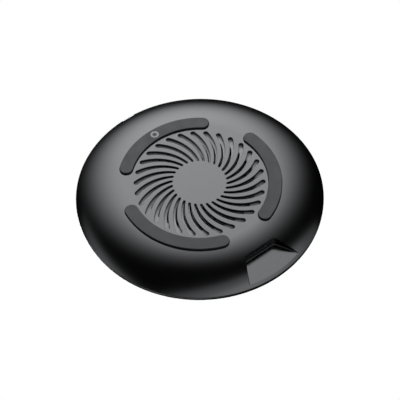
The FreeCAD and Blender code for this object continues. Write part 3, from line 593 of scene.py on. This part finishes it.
SILICONE = dict(grain=0.2, depth=0.002, patch=5.0, Specular_IOR_Level=0.3)
PAINTS = {
    "shell_black": surface("shell_plastic", BLACK, 0.19, vary=0.01, grain=0.16, depth=0.0006),
    "frame_black": surface("frame_plastic", BLACK, 0.19, vary=0.015, grain=0.14, depth=0.0008),
    # partly painted light: the fan's grey is lighter than the plastic's own, so that through the
    # slots it looks lit where the slots' walls shade it
    "fan_grey": surface(
        "fan_plastic_painted_lighter", (0.19, 0.19, 0.195), 0.35, vary=0.02, grain=0.14, depth=0.0008,
        Specular_IOR_Level=0.22,
    ),
    "panel_black": surface("panel_plastic", (0.03, 0.03, 0.031), 0.42, grain=0.1, depth=0.006),
    "foot_rubber": surface("foot_silicone", RUBBER, 0.52, **SILICONE),
    "grip_rubber": surface(
        "grip_silicone", (0.02, 0.02, 0.0205), 0.62, depth=0.01, bands=(0.6, ROUND_Z, 0.05, 0.0)
    ),
    "adhesive": surface("tape", (0.55, 0.54, 0.5), 0.8, patch=2.0, grain=0.3, depth=0.03),
    "light_pipe": surface("light_guide", (0.62, 0.63, 0.64), 0.32, patch=1.5, grain=0.2),
    "screw_steel": surface(
        "screw_metal", (0.12, 0.12, 0.125), 0.34, 1.0, patch=0.6, stretch=(1, 6, 1)
    ),
    "ferrite": surface(
        "ferrite_core", (0.035, 0.033, 0.031), 0.6, patch=2.5, grain=0.25, depth=0.02
    ),
    "litz_copper": surface(
        "litz_wire", (0.55, 0.24, 0.1), 0.3, 1.0, other=(0.42, 0.16, 0.06), patch=0.8,
        grain=0.15, depth=0.02, bands=(0.22, ROUND_Z, 0.02, 0.6),
    ),
    "lead_sleeve": surface(
        "lead_silicone", (0.42, 0.03, 0.02), 0.45, patch=2.0, grain=0.3, depth=0.01
    ),
    "sensor_glass": surface(
        "sensor_bead", (0.35, 0.2, 0.08), 0.12, patch=0.5, vary=0.03,
        Transmission_Weight=0.6, IOR=1.5,
    ),
    "board_green": surface(
        "solder_mask", (0.01, 0.09, 0.035), 0.33, other=(0.016, 0.13, 0.05), patch=1.2,
        grain=0.5, depth=0.012, bands=(1.3, ALONG_X, 0.02, 5.0),
    ),
    "port_steel": surface("port_metal", (0.3, 0.3, 0.31), 0.3, 1.0, patch=1.0, stretch=(1, 8, 1)),
    "port_plastic": surface("port_nylon", (0.006, 0.006, 0.006), 0.5, patch=1.5),
    "contact_gold": surface(
        "contact_metal", (0.75, 0.5, 0.16), 0.22, 1.0, patch=0.4, stretch=(1, 8, 1)
    ),
    "lamp_white": surface(
        "lamp_package", (0.75, 0.74, 0.62), 0.3, other=(0.78, 0.7, 0.4), patch=0.5
    ),
    "connector_nylon": surface(
        "connector_plastic", (0.66, 0.63, 0.53), 0.45, patch=1.5, grain=0.2
    ),
    "chip_epoxy": surface(
        "chip_resin", (0.012, 0.012, 0.013), 0.55, patch=1.0, grain=0.08, depth=0.008
    ),
    "capacitor_ceramic": surface(
        "ceramic", (0.34, 0.2, 0.1), 0.5, patch=0.8, grain=0.1, depth=0.006
    ),
    "crystal_can": surface(
        "plated_can", (0.5, 0.5, 0.52), 0.25, 1.0, patch=0.8, stretch=(8, 1, 1)
    ),
    "impeller_black": surface(
        "impeller_plastic", (0.002, 0.002, 0.0021), 0.8, patch=3.0, grain=0.3,
        Specular_IOR_Level=0.12,
    ),
    "magnet_grey": surface(
        "bonded_magnet", (0.05, 0.05, 0.052), 0.6, patch=1.0, grain=0.2, depth=0.02
    ),
    "motor_steel": surface(
        "motor_metal", (0.3, 0.3, 0.31), 0.35, 1.0, patch=1.5, bands=(0.35, ALONG_Z, 0.02, 0.1)
    ),
    "winding_copper": surface(
        "winding_wire", (0.55, 0.22, 0.08), 0.28, 1.0, patch=0.6, bands=(0.2, ROUND_Z, 0.03, 0.3)
    ),
    "bearing_bronze": surface(
        "sintered_bronze", (0.4, 0.22, 0.09), 0.42, 1.0, patch=0.5, depth=0.02
    ),
}


def marked_rubber():
    """The front foot's rubber, with a small plain ring printed in the middle of its face."""
    other = shaded(RUBBER, MARKED_SHADE)
    paint = surface("marked_silicone", RUBBER, 0.52, other=other, **SILICONE)
    tree = paint.tree
    spot = paint.node("ShaderNodeSeparateXYZ")
    paint.link(paint.place, spot.inputs[0])
    across, along = [maths(tree, "MULTIPLY", spot.outputs[axis], 1 / MM) for axis in ("X", "Y")]
    along = maths(tree, "ADD", along, FOOT_MID_R)
    squares = [maths(tree, "MULTIPLY", v, v) for v in (across, along)]
    radius = maths(tree, "SQRT", maths(tree, "ADD", *squares))
    off_line = maths(tree, "ABSOLUTE", maths(tree, "SUBTRACT", radius, MARK_R))
    edges = (MARK_LINE / 2 - MARK_SOFT, MARK_LINE / 2 + MARK_SOFT)
    on_line = paint.between(off_line, *edges, 1.0, 0.0)
    shades = paint.blend(on_line, paint.shades, MARK_COLOR)
    paint.link(shades, paint.shader.inputs["Base Color"])
    return paint


# ---- pieces ------------------------------------------------------------------------------
lower_shell(PAINTS["shell_black"].material)
for name, deg in FEET.items():
    paint = marked_rubber() if name == "foot_front" else PAINTS["foot_rubber"]
    foot(name, deg, paint.material)

for part in frame["record"]["subparts"]:
    if part["node"] != "lower_shell" and part["node"] not in FEET:
        skin = frame["nodes"][part["node"]].data.materials
        skin.clear()
        skin.append(PAINTS[part["material_slot"]].material)


# ---- stage, light and camera -------------------------------------------------------------
def floor(side=6000.0, z=-0.2, glow=0.42, fade=(0.15, 1.1), patch=40.0):
    """A pale floor that only shows from above, so that the pad's underside can be seen through it.

    It turns white between the two distances from the pad that fade gives, in metres.
    """
    outline = [(-side, -side, z), (side, -side, z), (side, side, z), (-side, side, z)]
    plane = mesh_object("floor", outline, [(0, 1, 2, 3)])
    darker, lighter = (0.79, 0.79, 0.78), (0.81, 0.81, 0.8)
    paint = Paint("floor_paint", darker, 0.7)
    shade = paint.blend(paint.noise(patch, 4.0), darker, lighter)
    paint.link(shade, paint.shader.inputs["Base Color"])
    paint.link(shade, paint.shader.inputs["Emission Color"])
    paint.set("Emission Strength", glow)
    distance = paint.node("ShaderNodeVectorMath", operation="LENGTH")
    paint.link(paint.place, distance.inputs[0])
    far = paint.between(distance.outputs["Value"], *fade, 0.0, 1.0)
    below = paint.node("ShaderNodeNewGeometry").outputs["Backfacing"]
    shader = paint.shader.outputs["BSDF"]
    for factor, kind in ((far, "ShaderNodeEmission"), (below, "ShaderNodeBsdfTransparent")):
        mix = paint.node("ShaderNodeMixShader")
        paint.link(factor, mix.inputs[0])
        paint.link(shader, mix.inputs[1])
        paint.link(paint.node(kind).outputs[0], mix.inputs[2])
        shader = mix.outputs["Shader"]
    paint.link(shader, paint.tree.nodes["Material Output"].inputs["Surface"])
    plane.data.materials.append(paint.material)
    plane.visible_shadow = plane.visible_diffuse = plane.visible_glossy = False


def world():
    """White where the camera looks past everything, and nearly dark as a light."""
    made = bpy.data.worlds.new("studio")
    made.use_nodes = True
    tree = made.node_tree
    back = tree.nodes["Background"]
    path = tree.nodes.new("ShaderNodeLightPath")
    mix = tree.nodes.new("ShaderNodeMix")
    mix.data_type = "FLOAT"
    mix.inputs[2].default_value, mix.inputs[3].default_value = WORLD_LIGHT, WORLD_SEEN
    tree.links.new(path.outputs["Is Camera Ray"], mix.inputs[0])
    tree.links.new(mix.outputs[0], back.inputs["Strength"])
    back.inputs["Color"].default_value = (1, 1, 1, 1)
    bpy.context.scene.world = made


def picture_axes():
    """The picture's right, up and towards-the-camera directions in the row frame."""
    e, roll = math.radians(VIEW_BELOW), math.radians(VIEW_ROLL)
    right = TO_ROW @ Vector((1, 0, 0))
    up = TO_ROW @ Vector((0, -math.sin(e), -math.cos(e)))
    back = TO_ROW @ Vector((0, math.cos(e), -math.sin(e)))
    return (
        right * math.cos(roll) + up * math.sin(roll),
        up * math.cos(roll) - right * math.sin(roll),
        back,
    )


def camera():
    right, up, back = picture_axes()
    target = TO_ROW @ Vector((*VIEW_TARGET, LIP_Z - LIP))
    eye = bpy.data.objects.new("camera", bpy.data.cameras.new("camera"))
    eye.data.lens, eye.data.sensor_width = VIEW_LENS, SENSOR_W
    eye.data.clip_start, eye.data.clip_end = CLIP
    place = Matrix((right, up, back)).transposed().to_4x4()
    place.translation = (target + back * VIEW_DISTANCE) * MM
    eye.matrix_world = place
    bpy.context.scene.collection.objects.link(eye)
    bpy.context.scene.camera = eye


def softbox(name, way, half_angles, radiance, fade):
    """A rectangular lamp aimed at the pad, as wide and high as twice the angles it gets.

    It is brightest in its middle, and fades to dark at its edges, faster where fade is higher.
    """
    size = [2 * LAMP_DISTANCE * MM * math.tan(math.radians(a)) for a in half_angles]
    lamp = bpy.data.lights.new(name, "AREA")
    lamp.shape, lamp.size, lamp.size_y = "RECTANGLE", *size
    lamp.energy = radiance * math.pi * size[0] * size[1]
    lamp.color = LAMP_TINT
    lamp.use_nodes = True
    tree = lamp.node_tree
    spot = tree.nodes.new("ShaderNodeSeparateXYZ")
    tree.links.new(tree.nodes.new("ShaderNodeNewGeometry").outputs["Parametric"], spot.inputs[0])

    def across(t):
        """4 t (1 - t), which is 1 in the middle and 0 at both edges."""
        four_t = maths(tree, "MULTIPLY", t, 4)
        return maths(tree, "MULTIPLY", four_t, maths(tree, "SUBTRACT", 1, t))

    middle = maths(tree, "MULTIPLY", across(spot.outputs["X"]), across(spot.outputs["Y"]))
    faded = maths(tree, "POWER", middle, fade)
    tree.links.new(faded, tree.nodes["Emission"].inputs["Strength"])
    made = bpy.data.objects.new(name, lamp)
    made.location = way * LAMP_DISTANCE * MM
    made.rotation_euler = way.to_track_quat("Z", "Y").to_euler()
    made.visible_camera = False
    bpy.context.scene.collection.objects.link(made)


def toward(azimuth, elevation):
    """A direction from the pad. From above, azimuth is anticlockwise from the picture's right."""
    a, e = math.radians(azimuth), math.radians(elevation)
    return TO_ROW @ Vector((math.cos(a) * math.cos(e), math.sin(a) * math.cos(e), math.sin(e)))


# each lamp's name, direction, half width and half height in degrees, radiance, and fade
LAMPS = (
    ("key", toward(-96.3, -41.9), (64.9, 66.6), 6.41, 12.06),
    ("near_wide", toward(58.6, -45.9), (66.0, 15.0), 1.68, 0.53),
    ("near_strip", toward(50.2, -41.9), (41.8, 8.9), 1.8, 0.66),
    ("left_strip", toward(155.3, -29.6), (54.3, 11.8), 2.37, 3.66),
    ("top", toward(-127.7, 51.8), (33.3, 26.8), 4.2, 1.34),
    ("overhead", toward(-90.0, 74.0), (24.0, 24.0), 3.3, 1.0),
)

floor()
world()
camera()
for lamp in LAMPS:
    softbox(*lamp)
bpy.context.scene.view_settings.view_transform = "Standard"
